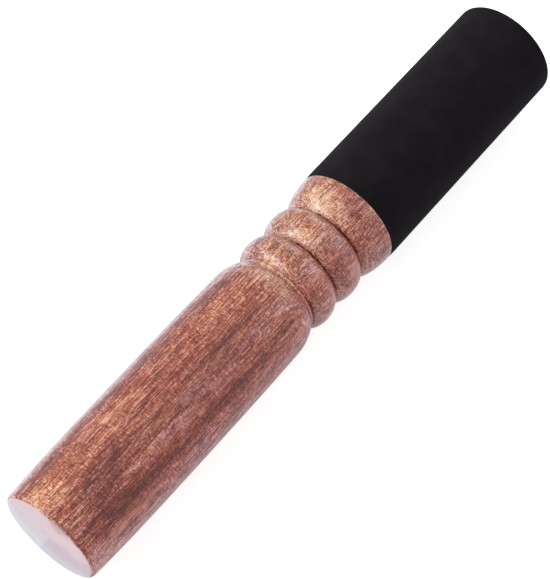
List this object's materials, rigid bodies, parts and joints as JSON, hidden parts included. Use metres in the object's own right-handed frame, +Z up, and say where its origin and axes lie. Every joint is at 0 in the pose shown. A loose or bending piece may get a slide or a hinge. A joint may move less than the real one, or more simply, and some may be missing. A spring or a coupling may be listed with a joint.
{
  "type": "singing bowl mallet",
  "caption": "Lying wooden mallet with a barrel grip, turned beads and collar, and a head wrapped in black suede, for striking and rubbing a singing bowl.",
  "frame": {"origin": "centre of the bounding box at floor level, with the mallet lying on its wrapped head", "axes": "+X along the mallet's axis from the butt of the grip to the head end, +Z up"},
  "size_m": [0.186, 0.0296, 0.0296],
  "materials": {
    "turned_wood": "thin satin varnish over reddish-brown hardwood",
    "black_suede": "matt napped suede",
    "contact_glue": "dried film"
  },
  "bodies": {
    "root": {"turned_handle": "turned_wood", "suede_wrap": "black_suede", "glue_layer": "contact_glue"}
  },
  "joints": []
}
